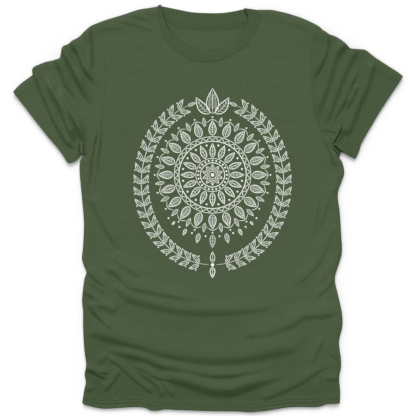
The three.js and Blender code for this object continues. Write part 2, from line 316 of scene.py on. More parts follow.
def jersey_material(name, green, course_angle=0.0, bump=0.35, loop_share=1.0):
    """Single jersey in a heather yarn: streaks along the courses, fine wales and a short matt nap."""
    material, nodes, links, shader = new_material(name, 0.93, 0.15)
    shader.inputs["Sheen Weight"].default_value = 0.02
    shader.inputs["Sheen Roughness"].default_value = 0.5

    place = nodes.new("ShaderNodeTexCoord")
    turn = nodes.new("ShaderNodeMapping")
    turn.inputs["Rotation"].default_value = (0, 0, course_angle)
    links.new(place.outputs["Object"], turn.inputs["Vector"])

    def streaks(scale, across, detail):
        stretch = nodes.new("ShaderNodeMapping")
        stretch.inputs["Scale"].default_value = (1, across, 1)
        noise = nodes.new("ShaderNodeTexNoise")
        noise.inputs["Scale"].default_value = scale
        noise.inputs["Detail"].default_value = detail
        links.new(turn.outputs["Vector"], stretch.inputs["Vector"])
        links.new(stretch.outputs["Vector"], noise.inputs["Vector"])
        return noise.outputs["Fac"]

    def math_node(kind, *values):
        node = nodes.new("ShaderNodeMath")
        node.operation = kind
        for socket, value in zip(node.inputs, values):
            if isinstance(value, (int, float)):
                socket.default_value = value
            else:
                links.new(value, socket)
        return node.outputs[0]

    def mixed(one, share, other, other_share):
        one, other = math_node("MULTIPLY", one, share), math_node("MULTIPLY", other, other_share)
        return math_node("ADD", one, other)

    def axes_of(vector):
        split = nodes.new("ShaderNodeSeparateXYZ")
        links.new(vector, split.inputs["Vector"])
        return split.outputs

    # Each wale is a column of V-shaped loops, one above the other at every course.
    loops = axes_of(turn.outputs["Vector"])
    leg = math_node("PINGPONG", math_node("DIVIDE", loops["X"], WALE), 0.5)
    course = math_node("DIVIDE", loops["Y"], COURSE)
    course = math_node("ADD", course, math_node("MULTIPLY", leg, LEG_SLANT))
    loop = math_node("MULTIPLY", math_node("SINE", math_node("MULTIPLY", course, math.tau)), LOOP_RISE)
    knit = math_node("MULTIPLY", math_node("ADD", math_node("MULTIPLY", leg, LEG_RISE), loop), loop_share)

    yarn = streaks(scale=150, across=11, detail=3)
    cloud = streaks(scale=30, across=2.5, detail=2)
    melange = mixed(yarn, 0.85, cloud, 0.15)
    # Painted shade: the colour is a little darker between the loops and lighter on them, following the
    # knit's relief.
    painted_loop_shade = math_node("SUBTRACT", knit, LOOP_RISE * loop_share)
    melange = math_node("ADD", melange, math_node("MULTIPLY", painted_loop_shade, 0.05))
    ramp = nodes.new("ShaderNodeValToRGB")
    for position, shade in HEATHER:
        stop = ramp.color_ramp.elements.new(position)
        stop.color = (green[0] * shade, green[1] * shade, green[2] * shade, 1)
    ramp.color_ramp.elements.remove(ramp.color_ramp.elements[0])
    ramp.color_ramp.elements.remove(ramp.color_ramp.elements[-1])
    links.new(melange, ramp.inputs["Fac"])
    axes = axes_of(place.outputs["Object"])
    # Painted shade: the colour darkens towards the hem, and a little more towards the plan's left side.
    hem_shade = nodes.new("ShaderNodeMapRange")
    hem_shade.interpolation_type = "SMOOTHSTEP"
    for socket, value in zip(("From Min", "From Max", "To Min", "To Max"), HEM_SHADE_RAMP):
        hem_shade.inputs[socket].default_value = value
    slanted = math_node("MULTIPLY", axes["X"], HEM_SHADE_SLANT)
    links.new(math_node("ADD", axes["Y"], slanted), hem_shade.inputs["Value"])
    hem_shaded = nodes.new("ShaderNodeVectorMath")
    hem_shaded.operation = "SCALE"
    links.new(ramp.outputs["Color"], hem_shaded.inputs["Vector"])
    links.new(hem_shade.outputs["Result"], hem_shaded.inputs["Scale"])

    # Painted shade: the green is fuller, with less red and blue, on slopes that lean towards the hem,
    # away from the light, and in the painted shade of the lower body.
    slope = axes_of(nodes.new("ShaderNodeNewGeometry").outputs["Normal"])
    shade_tint = nodes.new("ShaderNodeValToRGB")
    shade_tint.color_ramp.elements[0].color = (1, 1, 1, 1)
    shade_tint.color_ramp.elements[1].color = PAINTED_SHADE_TINT
    lee_shade = math_node("MULTIPLY", slope["Y"], -1 / FULL_SHADE_SLOPE)
    hem_shade_share = math_node("DIVIDE", math_node("SUBTRACT", 1, hem_shade.outputs["Result"]), FULL_HEM_SHADE)
    links.new(math_node("ADD", lee_shade, hem_shade_share), shade_tint.inputs["Fac"])
    shade_tinted = nodes.new("ShaderNodeVectorMath")
    shade_tinted.operation = "MULTIPLY"
    links.new(hem_shaded.outputs["Vector"], shade_tinted.inputs[0])
    links.new(shade_tint.outputs["Color"], shade_tinted.inputs[1])
    links.new(shade_tinted.outputs["Vector"], shader.inputs["Base Color"])

    nap = streaks(scale=700, across=2.2, detail=2)
    relief = mixed(knit, 0.8, nap, 0.6)
    raise_yarn = nodes.new("ShaderNodeBump")
    raise_yarn.inputs["Strength"].default_value = bump
    raise_yarn.inputs["Distance"].default_value = 0.0003
    links.new(relief, raise_yarn.inputs["Height"])
    links.new(raise_yarn.outputs["Normal"], shader.inputs["Normal"])
    return material


BODY_GREEN = (0.0673, 0.0981, 0.0483)
jersey = jersey_material("jersey", BODY_GREEN)

back_edges = [
    ("neck", BACK_NECK_SEAM[::-1], SEAM_ROWS),
    ("left_shoulder", LEFT_SHOULDER, FOLD_ROWS),
    ("left_armhole", LEFT_ARMHOLE, SEAM_ROWS),
    ("left_side", LEFT_SIDE, FOLD_ROWS),
    ("hem", HEM, HEM_ROWS),
    ("right_side", RIGHT_SIDE, FOLD_ROWS),
    ("right_armhole", RIGHT_ARMHOLE, SEAM_ROWS),
    ("right_shoulder", RIGHT_SHOULDER, FOLD_ROWS),
]
BACK_ROLL = 0.0090  # how far from its sides and shoulders the back bends up to the front
NECK_RISE = 0.0005  # how much the seam allowance under the neck seam lifts the panel there
NECK_RISE_REACH = 0.012
GATHER_HEIGHT = 0.0019
GATHER_WIDTH = 0.0011
GATHER_STEP = 0.001
NECK_GATHER = [
    (-.0805, .354), (-.0752, .336), (-.068, .319), (-.06, .306), (-.048, .295), (-.034, .287),
]
gather_line = smooth_line(NECK_GATHER, GATHER_STEP)


def neck_gather(spots):
    """Cloth bunched in a low ridge inside the neck, right beside the front half of the neckband."""
    gap, run, _ = nearest_on(spots, gather_line)
    left_over = (1 - run / (GATHER_STEP * (len(gather_line) - 1))).clip(0, 1)
    return GATHER_HEIGHT * np.exp(-((gap / GATHER_WIDTH) ** 2)) * left_over**0.6


def to_folds(spots, lines):
    """Distance to the nearest edge where the front turns over to the back."""
    turned = [lines[name] for name in lines if "side" in name or "shoulder" in name]
    return np.min([nearest_on(spots, line)[0] for line in turned], axis=0)


gather_gaps = (-0.0027, -0.0018, -0.001, 0, 0.001, 0.0018, 0.0027)
gather_rows = [offset_line(gather_line, gap) for gap in gather_gaps]
spots, triangles, lines = cut_out(back_edges, np.vstack(gather_rows))
fold_gap = to_folds(spots, lines)
hem_gap = nearest_on(spots, lines["hem"])[0]
lifted = SIDE_LEVEL * (1 - rounded(fold_gap, BACK_ROLL))
neck_gap = nearest_on(spots, lines["neck"])[0]
lifted += NECK_RISE * np.exp(-((neck_gap / NECK_RISE_REACH) ** 2)) * rounded(fold_gap, 0.01)
lifted += neck_gather(spots)
back_thickness = JERSEY * (1 + within(hem_gap, HEM_DEPTH))
points, faces = thickened(np.column_stack([spots, lifted]), triangles[:, ::-1], back_thickness)
back_panel = add_piece("back_panel_cloth", points, faces, jersey)
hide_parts("back_panel")


# ---- Front panel ----
# Single jersey, sewn to the back at the shoulders and sides. It is a little longer than the space it
# lies in, so the cloth stands in shallow folds that hang in curves between the side seams.
LAYER_TOP = 0.0058  # top of the upper layer where it lies flat
FRONT_ROLL = 0.0050  # how far from its sides and shoulders the flat front bends down
ROLL_GROWTH = 0.4  # how much further for each metre that a fold stands higher
EDGE_PUFF = 0.0024  # how much higher the cloth stands beside such an edge, and how far from it
PUFF_REACH = 0.009
EDGE_PUFFS = [
    ("left_side", 0.5), ("right_side", 1.3), ("left_shoulder", 0.6), ("right_shoulder", 0.6),
]
HEM_DROP = 0.0013  # how much lower the front lies at its hem
HEM_DROP_REACH = 0.035
SEAM_GROOVE = 0.00013  # depth and breadth of the groove along a seam
GROOVE_BREADTH = 0.0010

FRONT_NECK_SEAM = [
    (-.089, .357), (-.087, .34), (-.082, .311), (-.062, .281), (-.03, .262), (.004, .259), (.035, .267),
    (.065, .286), (.085, .313), (.092, .333), (.088, .351),
]

# Folds of the upper layer, in millimetres but for the last column: height, width of the steep side,
# width of the gentle side, how crisp the foot is, the shares of its length over which it rises and
# dies, and the line of its steep side in metres. The gentle side is on the left, looking along.
LOWER_BODY_FOLDS = [
    (4.7, 10, 14, .4, .08, .40, [(-.186, -.113), (-.173, -.113), (-.161, -.12), (-.154, -.129),
        (-.145, -.138), (-.135, -.145), (-.12, -.148), (-.085, -.155), (-.035, -.164), (.012, -.167)]),
    (4.6, 14, 12, .3, .10, .50, [(-.176, -.084), (-.163, -.099), (-.146, -.111), (-.131, -.12),
        (-.11, -.127)]),
    (4.5, 13, 15, .4, .05, .45, [(-.173, -.138), (-.163, -.146), (-.15, -.158), (-.126, -.168),
        (-.094, -.175), (-.058, -.183), (-.032, -.186), (-.005, -.187), (.048, -.185), (.092, -.181),
        (.127, -.172), (.15, -.16)]),
    (6.0, 16.5, 24, .45, .08, .16, [(-.216, -.224), (-.2, -.224), (-.186, -.229), (-.152, -.24),
        (-.115, -.251), (-.081, -.261), (-.041, -.269), (.012, -.273), (.06, -.271), (.106, -.261),
        (.147, -.252), (.159, -.245), (.168, -.239), (.181, -.238)]),
    (5.0, 15, 22, .4, .18, .70, [(-.218, -.225), (-.2, -.225), (-.186, -.23), (-.152, -.241),
        (-.115, -.252), (-.081, -.262), (-.041, -.27)]),
    (5.8, 11.5, 10, .35, .14, .32, [(-.183, -.249), (-.168, -.256), (-.138, -.263), (-.112, -.27),
        (-.085, -.281), (-.046, -.29), (.0, -.299), (.048, -.298), (.096, -.29), (.128, -.281)]),
    (4.4, 7, 8, .6, .3, .5, [(-.136, -.279), (-.12, -.285), (-.106, -.293), (-.094, -.3), (-.076, -.305),
        (-.05, -.309)]),
    (10.0, 16, 11, .6, .26, .40, [(-.1, -.2965), (-.081, -.3025), (-.05, -.3075), (-.023, -.316),
        (.007, -.325), (.03, -.326), (.048, -.3255), (.074, -.316), (.104, -.308), (.133, -.3),
        (.149, -.296)]),
    (2.9, 8, 12, .6, .04, .42, [(.096, -.339), (.103, -.337), (.124, -.329), (.15, -.3175),
        (.173, -.3045), (.195, -.2895), (.209, -.283), (.232, -.271)]),
    (2.4, 7, 7, .3, .5, .04, [(.198, -.3), (.216, -.304), (.236, -.301)]),
    (3.5, 10.5, 16, .5, .14, .14, [(.052, -.2298), (.067, -.23), (.103, -.227), (.129, -.217),
        (.15, -.208), (.17, -.195), (.184, -.193), (.202, -.192), (.235, -.185)]),
    (2.7, 5.8, 7, .7, .10, .10, [(-.178, -.26), (-.169, -.271), (-.158, -.278), (-.137, -.298),
        (-.114, -.317), (-.096, -.329)]),
    (2.0, 8, 6, .4, .6, .1, [(-.2, -.284), (-.19, -.274), (-.176, -.26)]),
    (2.8, 6.5, 8, .6, .2, .15, [(-.184, -.326), (-.168, -.309), (-.161, -.299), (-.152, -.286)]),
    (6.3, 4.5, 5, .6, .02, .30, [(-.222, -.277), (-.199, -.287), (-.186, -.292), (-.173, -.2935)]),
    (6.9, 5.5, 5, .6, .02, .42, [(-.224, -.282), (-.205, -.288), (-.194, -.295), (-.184, -.3),
        (-.174, -.304)]),
    (3.0, 6.5, 7, .4, .3, .3, [(-.088, -.302), (-.081, -.312), (-.07, -.3255), (-.061, -.338)]),
    (3.4, 6.5, 7, .4, .35, .12, [(-.132, -.286), (-.117, -.295), (-.098, -.309), (-.0875, -.32),
        (-.0855, -.334)]),
    (2.9, 8, 8, .4, .05, .6, [(-.221, -.322), (-.21, -.3225), (-.196, -.318)]),
    (1.0, 7, 7, .3, .3, .3, [(-.211, -.302), (-.197, -.308), (-.184, -.312)]),
    (2.4, 6, 8, .3, .25, .25, [(.188, -.283), (.189, -.272), (.193, -.26), (.202, -.238), (.211, -.226)]),
]
SIDE_FOLDS = [
    (3.8, 7, 8, .5, .14, .55, [(-.216, -.106), (-.211, -.115), (-.196, -.13), (-.179, -.146)]),
    (3.6, 7.5, 6, .5, .02, .08, [(-.221, -.149), (-.209, -.155), (-.201, -.162), (-.1965, -.17),
        (-.193, -.177)]),
    (3.9, 12, 9, .3, .06, .3, [(-.203, -.181), (-.187, -.178), (-.174, -.183), (-.163, -.19)]),
    (1.4, 12, 12, .2, .3, .3, [(-.172, -.15), (-.166, -.165), (-.158, -.182)]),
    (6.4, 8, 7, .5, .1, .08, [(-.211, -.166), (-.204, -.182), (-.193, -.195), (-.181, -.208),
        (-.174, -.215)]),
    (1.2, 6, 5, .4, .3, .3, [(-.211, -.13), (-.198, -.141), (-.182, -.155)]),
    (4.1, 9, 12, .3, .08, .35, [(-.213, .019), (-.2, -.003), (-.188, -.03), (-.173, -.053),
        (-.159, -.081)]),
    (2.9, 6.5, 6, .4, .3, .2, [(.196, .133), (.205, .118), (.215, .099), (.222, .083), (.228, .07)]),
    (1.5, 5, 6, .4, .4, .05, [(.196, -.045), (.205, -.015), (.212, .004), (.217, .014), (.221, .029),
        (.23, .034)]),
    (2.1, 9, 12, .3, .30, .08, [(.144, -.145), (.165, -.131), (.186, -.111), (.202, -.09), (.213, -.067),
        (.228, -.03)]),
    (1.2, 6, 7, .3, .3, .3, [(.191, -.143), (.211, -.116), (.223, -.092)]),
    (2.3, 6.5, 6, .5, .35, .05, [(.189, -.162), (.205, -.148), (.216, -.136), (.225, -.125)]),
]
SHOULDER_FOLDS = [
    (0.65, 5, 5, .4, .5, .15, [(-.196, .316), (-.181, .317), (-.145, .316)]),
    (1.2, 6, 6, .4, .45, .3, [(-.168, .332), (-.152, .327), (-.12, .32), (-.09, .307)]),
    (0.95, 5.5, 5, .4, .3, .3, [(-.142, .34), (-.127, .337), (-.103, .329), (-.096, .324)]),
    (0.7, 7, 6, .3, .4, .3, [(.137, .325), (.154, .321), (.165, .319), (.179, .305)]),
]
SLEEVE_FOLDS = [
    (7.2, 8.5, 7, .5, .03, .15, [(-.314, .253), (-.306, .231), (-.287, .186), (-.269, .146),
        (-.251, .116), (-.241, .107), (-.232, .101)]),
    (12.4, 11.5, 7, .5, .30, .22, [(-.2845, .248), (-.2885, .226), (-.278, .202), (-.262, .174),
        (-.25, .142), (-.241, .12), (-.236, .108)]),
    (12.4, 9.5, 7, .45, .24, .32, [(-.274, .217), (-.251, .174), (-.235, .147), (-.225, .124),
        (-.22, .108)]),
    (7.8, 10.5, 8, .4, .03, .65, [(-.279, .279), (-.266, .253), (-.258, .234), (-.253, .218),
        (-.237, .195), (-.226, .182)]),
    (11.4, 11, 8, .4, .02, .48, [(-.268, .289), (-.254, .265), (-.243, .246), (-.231, .223),
        (-.218, .198), (-.204, .18)]),
    (9.6, 11, 8, .4, .03, .40, [(-.25, .303), (-.24, .284), (-.232, .271), (-.223, .248), (-.209, .229),
        (-.195, .212)]),
    (3.4, 7, 7, .4, .3, .15, [(-.201, .241), (-.203, .257), (-.204, .287), (-.209, .312), (-.212, .324)]),
    (6.0, 9, 8, .4, .4, .04, [(.184, .222), (.196, .241), (.209, .266), (.212, .28), (.214, .303),
        (.215, .315)]),
    (6.5, 12, 8, .4, .25, .06, [(.196, .153), (.205, .188), (.214, .213), (.221, .241), (.23, .268),
        (.239, .28), (.25, .287), (.258, .295)]),
    (4.6, 10, 8, .4, .2, .06, [(.207, .142), (.219, .169), (.228, .195), (.237, .22), (.248, .245),
        (.264, .277), (.271, .291)]),
    (4.9, 7, 5, .5, .42, .35, [(.219, .146), (.235, .174), (.248, .197), (.257, .222), (.271, .254)]),
    (7.0, 8.5, 5, .5, .42, .18, [(.246, .168), (.259, .196), (.27, .219)]),
    (6.4, 9.5, 10, .5, .12, .13, [(.246, .122), (.26, .158), (.271, .186), (.283, .213), (.29, .239),
        (.298, .262)]),
    (1.3, 4, 4, .4, .2, .3, [(.256, .098), (.251, .11), (.246, .13)]),
    (2.6, 5, 5, .5, .25, .25, [(.237, .144), (.241, .149), (.2425, .16), (.239, .169)]),
    (1.4, 4, 5, .4, .2, .2, [(.198, .137), (.212, .136), (.228, .132)]),
]
# Narrow hollows between bunched cloth: depth and half width in millimetres, height of the cloth that
# stands beside it as a share of the depth, and its line in metres.
HOLLOWS = [
    (2.6, 1.0, 0.9, [(-.2266, .1175), (-.2274, .1067), (-.2257, .0915)]),
    (2.6, 1.0, 0.9, [(-.2186, .1165), (-.2195, .105), (-.2186, .093)]),
    (3.6, 1.2, 0.9, [(.2372, .148), (.235, .1368), (.232, .1297), (.2275, .1227), (.2239, .1156),
        (.2205, .11)]),
    (3.4, 1.3, 0.9, [(.2195, .1125), (.2266, .1067), (.2328, .101), (.237, .0968)]),
    (2.0, 2.3, .4, [(-.192, .152), (-.1985, .112), (-.204, .08), (-.208, .027)]),
    (1.8, 2.3, .4, [(-.187, .16), (-.188, .12), (-.192, .085), (-.1915, .045)]),
    (2.6, 2.6, .4, [(-.209, .322), (-.204, .287), (-.203, .257), (-.201, .236)]),
    (0.7, 2.0, .4, [(.216, .096), (.221, .061), (.223, .042)]),
    (1.4, 2.2, .4, [(.186, -.062), (.194, -.024), (.198, .02)]),
    (0.8, 2.2, .4, [(.191, -.295), (.197, -.304), (.2, -.315), (.204, -.329)]),
    (1.0, 3.0, .3, [(.212, -.261), (.221, -.265), (.227, -.272), (.228, -.279)]),
    (0.5, 2.0, .3, [(-.193, -.325), (-.186, -.339)]),
    (0.5, 2.0, .3, [(-.1575, -.3216), (-.1646, -.3375)]),
]
FOLD_BLEND = 2.5  # how far crossing folds keep apart from a plain sum
SLIM = 0.45  # width of a fold's steep side at its very ends, as a share of its full width
FOOT_SHARE = 0.4  # how much of its steep side lies to the right of a fold's line
# Where the cloth's mesh has rows along a fold, in widths of its steep side, and along a hollow, in its
# half widths. Rows keep one spot in each cell of this size.
FOLD_MESH = (-0.7, -0.4, -0.15, 0.1, 0.35, 0.6, 1.0)
HOLLOW_MESH = (-3.2, -2.3, -1.5, -0.9, -0.4, 0, 0.4, 0.9, 1.5, 2.3, 3.2)
MESH_CELL = 0.0007
FOLD_STEP = 0.0025
HOLLOW_STEP = 0.001

all_folds = LOWER_BODY_FOLDS + SIDE_FOLDS + SHOULDER_FOLDS + SLEEVE_FOLDS
creases = [
    (height / 1000, lee / 1000, brow / 1000, crisp, rise, die, smooth_line(points, FOLD_STEP))
    for height, lee, brow, crisp, rise, die, points in all_folds
]
hollows = [
    (depth / 1000, width / 1000, rim, smooth_line(points, HOLLOW_STEP))
    for depth, width, rim, points in HOLLOWS
]


def swell(share, rise, die):
    """0 at both ends of a fold and 1 between, over the shares in which it rises and dies."""
    ramp = np.clip(np.minimum(share / rise, (1 - share) / die), 0, 1)
    return ramp * ramp * (3 - 2 * ramp)


def crease_spots():
    """Spots for the cloth's mesh along every fold and hollow, closest together where it is steep."""
    spots = []
    for height, lee, brow, crisp, rise, die, line in creases:
        slope_width = lee * (SLIM + (1 - SLIM) * swell(np.linspace(0, 1, len(line)), rise, die))
        for share in FOLD_MESH:
            spots.append(offset_line(line, slope_width * share))
    for depth, width, rim, line in hollows:
        for share in HOLLOW_MESH:
            spots.append(offset_line(line, width * share))
    spots = np.vstack(spots)
    cells = np.unique(np.round(spots / MESH_CELL).astype(int), axis=0, return_index=True)[1]
    return spots[np.sort(cells)]


def fold_heights(spots):
    """How much higher than flat cloth the folds stand."""
    total = np.zeros(len(spots))
    for height, lee, brow, crisp, rise, die, line in creases:
        reach = 3 * brow + lee
        near_it = ((spots > line.min(0) - reach) & (spots < line.max(0) + reach)).all(1)
        gap, run, side = nearest_on(spots[near_it], line)
        share = run / np.linalg.norm(np.diff(line, axis=0), axis=1).sum()
        tall = swell(share, rise, die)
        slope_width = lee * (SLIM + (1 - SLIM) * tall)
        offset = gap * side
        climb = np.clip(offset / slope_width + FOOT_SHARE, 0, 1)
        steep = crisp * (1 - (1 - climb) ** 2) + (1 - crisp) * climb**2 * (3 - 2 * climb)
        beyond = np.clip(offset - (1 - FOOT_SHARE) * slope_width, 0, None) / brow
        total[near_it] += (height * tall * steep * np.exp(-beyond**2)) ** FOLD_BLEND
    return total ** (1 / FOLD_BLEND)


RIM_PLACE = 2.3  # middle of the raised cloth beside a hollow, and its breadth, in half widths
RIM_BREADTH = 1.4


def hollow_relief(spots):
    """How far the hollows sink below the cloth, and how far it stands up beside them."""
    relief = np.zeros(len(spots))
    for depth, width, rim, line in hollows:
        near_it = ((spots > line.min(0) - 0.02) & (spots < line.max(0) + 0.02)).all(1)
        gap, run, _ = nearest_on(spots[near_it], line)
        gap = gap / width
        tall = swell(run / (HOLLOW_STEP * (len(line) - 1)), 0.25, 0.25)
        beside = rim * np.exp(-(((gap - RIM_PLACE) / RIM_BREADTH) ** 2))
        relief[near_it] += depth * tall * (beside - np.exp(-(gap**2)))
    return relief


LONG_WAVES = (0.11, 0.00022)  # length and height of the unevenness that flat cloth keeps
SHORT_WAVES = (0.026, 0.00008)
DEEPEST_WAVE = -0.0004


def upper_layer(spots):
    """Height of the top of the front and of the sleeves' upper side, away from their edges."""
    rest = LONG_WAVES[1] * undulation(spots, LONG_WAVES[0], 11)
    rest = rest + SHORT_WAVES[1] * undulation(spots, SHORT_WAVES[0], 12, (1.5, 1))
    return LAYER_TOP + np.maximum(rest, DEEPEST_WAVE) + fold_heights(spots) + hollow_relief(spots)


HEM_RISE = 0.0006  # how much a turned-up hem stands proud
PUCKER = 0.00007
STITCH_SINK = 0.00045  # depth and half breadth of the groove that a row of stitches pulls in
STITCH_GROOVE = 0.0008
HEM_EDGE_RADIUS = 0.0009


def hem_relief(gap, run, share):
    """The turned-up hem stands a little proud, sinks under its stitches and puckers between them."""
    inside_hem = within(gap, HEM_DEPTH)
    pucker = np.cos(run * 2 * np.pi / 0.0113) + 0.6 * np.cos(run * 2 * np.pi / 0.0071 + 1)
    relief = inside_hem * (HEM_RISE + PUCKER * pucker) * share
    bite = 1 + 0.7 * np.cos((run - 0.05) * 2 * np.pi / 0.33)
    for row in HEM_STITCH_ROWS:
        relief -= STITCH_SINK * bite * share * np.exp(-(((gap - row) / STITCH_GROOVE) ** 2))
    return relief - 0.0008 * (1 - rounded(gap, HEM_EDGE_RADIUS))


def edge_puff(spots, edge, share):
    """How much higher the cloth stands along an edge where it turns over to the back."""
    beside = (nearest_on(spots, edge)[0] - PUFF_REACH) / PUFF_REACH
    return EDGE_PUFF * share * np.exp(-(beside**2))


front_edges = [("neck", FRONT_NECK_SEAM[::-1], SEAM_ROWS)] + back_edges[1:]
fold_spots = crease_spots()
spots, triangles, lines = cut_out(front_edges, fold_spots)
fold_gap = to_folds(spots, lines)
hem_gap, hem_run, _ = nearest_on(spots, lines["hem"])
height = upper_layer(spots) + hem_relief(hem_gap, hem_run, 1)
height -= HEM_DROP * np.exp(-((hem_gap / HEM_DROP_REACH) ** 2))
for edge, share in EDGE_PUFFS:
    height += edge_puff(spots, lines[edge], share)
for seam in ("neck", "left_armhole", "right_armhole"):
    height -= SEAM_GROOVE * (1 - rounded(nearest_on(spots, lines[seam])[0], GROOVE_BREADTH))
roll = FRONT_ROLL + ROLL_GROWTH * (height - LAYER_TOP).clip(0)
height = SIDE_LEVEL + (height - SIDE_LEVEL) * rounded(fold_gap, roll)
points, faces = thickened(
    np.column_stack([spots, height]), triangles, JERSEY * (1 + within(hem_gap, HEM_DEPTH))
)
front_panel = add_piece("front_panel_cloth", points, faces, jersey)
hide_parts("front_panel")


# ---- Hem stitches ----
# Two rows of lockstitch in spun polyester thread hold each turned-up hem, and are modelled on its
# upper side. Every stitch is a short length of thread, half sunk in the jersey.
STITCH_LENGTH = 0.0026
STITCH_PITCH = 0.0033
THREAD_RADIUS = 0.00021
THREAD_GREEN = (0.0850, 0.1200, 0.0610)
# Along a stitch: share of half its length, and radius as a share of the thread's.
STITCH_RINGS = [(-1, 0.35), (-0.84, 0.95), (0, 1.0), (0.84, 0.95), (1, 0.35)]


def sew(name, rows, heights):
    """Rows of separate stitches along lines, half sunk into the cloth whose top heights() gives."""
    points, faces, sides = [], [], 6
    around = np.arange(sides) * 2 * np.pi / sides
    for row in rows:
        run = run_of(row)
        middles = np.arange(STITCH_PITCH, run[-1] - STITCH_PITCH, STITCH_PITCH)
        starts, stops = (
            np.column_stack([np.interp(middles + reach, run, axis) for axis in row.T])
            for reach in (-STITCH_LENGTH / 2, STITCH_LENGTH / 2)
        )
        starts, stops = (np.column_stack([ends, heights(ends)]) for ends in (starts, stops))
        for start, stop in zip(starts, stops):
            if np.isnan(start[2] + stop[2]):
                continue
            middle, along = (start + stop) / 2, (stop - start) / 2
            across = np.cross(along, (0, 0, 1))
            across /= np.linalg.norm(across)
            first = len(points)
            for share, girth in STITCH_RINGS:
                for angle in around:
                    out = across * math.cos(angle) + np.array((0, 0, math.sin(angle)))
                    points.append(middle + along * share + out * girth * THREAD_RADIUS)
            faces += tube(len(STITCH_RINGS), sides, first, flipped=True)
    return add_piece(name, np.array(points), faces, thread)


def thread_material():
    """Spun polyester thread: matt, its two plies twisted round each other."""
    material, nodes, links, shader = new_material("thread", 0.8, 0.25)
    place = nodes.new("ShaderNodeTexCoord")
    # Painted shade and light: darker and lighter bands along the twist, where the grooves between the
    # plies would be shaded.
    ply_shade_bands = nodes.new("ShaderNodeTexWave")
    ply_shade_bands.bands_direction = "DIAGONAL"
    ply_shade_bands.inputs["Scale"].default_value = 700
    ramp = nodes.new("ShaderNodeValToRGB")
    ramp.color_ramp.elements[0].color = (*(c * 0.86 for c in THREAD_GREEN), 1)
    ramp.color_ramp.elements[1].color = (*(c * 1.08 for c in THREAD_GREEN), 1)
    links.new(place.outputs["Object"], ply_shade_bands.inputs["Vector"])
    links.new(ply_shade_bands.outputs["Fac"], ramp.inputs["Fac"])
    links.new(ramp.outputs["Color"], shader.inputs["Base Color"])
    return material


thread = thread_material()


RAY_START = 0.1  # above everything


def top_surface(points, faces):
    """A function that gives the height of a mesh's top at plan positions, and NaN beside it."""
    tree = BVHTree.FromPolygons(points.tolist(), faces)
    down = Vector((0, 0, -1))

    def heights(spots):
        hits = [tree.ray_cast(Vector((x, y, RAY_START)), down)[0] for x, y in spots]
        return np.array([np.nan if hit is None else hit.z for hit in hits])

    return heights


front_top = top_surface(points, faces)
hem_rows = [offset_line(lines["hem"], row) for row in HEM_STITCH_ROWS]
body_stitches = sew("body_hem_stitches", hem_rows, front_top)


# ---- Print ----
# Off-white ink on the chest in fine strokes, each a thin film that follows the cloth: a rosette of
# petals and beads in an oval wreath of leaves. Sizes in millimetres from the print's middle.
PRINT_MIDDLE = (0.008, 0.045)
INK_ABOVE = 0.00012  # how far the film stands above the cloth
INK_BELOW = 0.00010
INK_LAP = 0.000012  # how much higher a stroke lies where it crosses another
INK_STEP = 1.6
INK_WHITE = (0.86, 0.90, 0.81)
ROSETTE = np.array((0.0, 14.0))
WREATH_HALF = (126.0, 145.0)
LEAF_PAIRS = 21
BOLD, PLAIN, FINE = 1.55, 1.05, 0.6
TIP_WIDTH = 0.3  # width of a stroke's very ends, as a share of its full width

strokes = []  # each a line and its half width at every point


def ink(line, width, taper=0.35, mirrored=False):
    """A stroke of that width, drawn out thin at its two ends over a share of its length."""
    line = np.asarray(line, float)
    if len(line) > 2:
        line = smooth_line(line, INK_STEP)
    share = np.linspace(0, 1, len(line))
    fade = np.ones(len(line)) if taper == 0 else np.clip(np.minimum(share, 1 - share) / taper, 0, 1)
    half = width / 2 * (TIP_WIDTH + (1 - TIP_WIDTH) * np.sqrt(fade))
    strokes.append((line, half))
    if mirrored:
        strokes.append((line[::-1] * (-1, 1), half[::-1]))


def polar(radius, degrees):
    turn = math.radians(degrees)
    return ROSETTE + radius * np.array((math.sin(turn), math.cos(turn)))


def ring(radius, width):
    ink([polar(radius, a) for a in np.linspace(0, 360, 49)], width, 0)


def dot(middle, radius, mirrored=False):
    """A round bead of ink: a stroke as long as it is wide."""
    reach = np.sin(np.linspace(-1.4, 1.4, 7))
    line = np.asarray(middle, float) + np.outer(reach, (0, radius))
    half = radius * np.sqrt(1 - reach**2)
    strokes.append((line, half))
    if mirrored:
        strokes.append((line[::-1] * (-1, 1), half))


def leaf(base, tip, fullness, width=PLAIN, ribs=4, inner=0.0, bend=0.0, mirrored=False):
    """A pointed leaf or petal: outline, midrib and ribs, and a second outline if inner is its share."""
    base, tip = np.asarray(base, float), np.asarray(tip, float)
    length = np.linalg.norm(tip - base)
    across = np.array((base[1] - tip[1], tip[0] - base[0])) / length

    def at(share, side):
        swing = 4 * bend * length * share * (1 - share)
        out = fullness * length * math.sin(math.pi * share**0.75)
        return base + (tip - base) * share + across * (swing + side * out)

    for side in (-1, 1):
        ink([at(share, side) for share in np.linspace(0, 1, 9)], width, 0.2, mirrored)
        if inner:
            ink([at(share, side * inner) for share in np.linspace(0.14, 0.84, 7)], FINE, 0.3, mirrored)
        reach = inner or 0.85
        for share in np.linspace(0.20, 0.66, ribs):
            rib = [at(share, 0), at(share + 0.06, side * reach / 2), at(share + 0.13, side * reach)]
            ink(rib, FINE, 0.5, mirrored)
    ink([at(share, 0) for share in np.linspace(0.04, 0.88, 5)], (FINE + width) / 2, 0.5, mirrored)


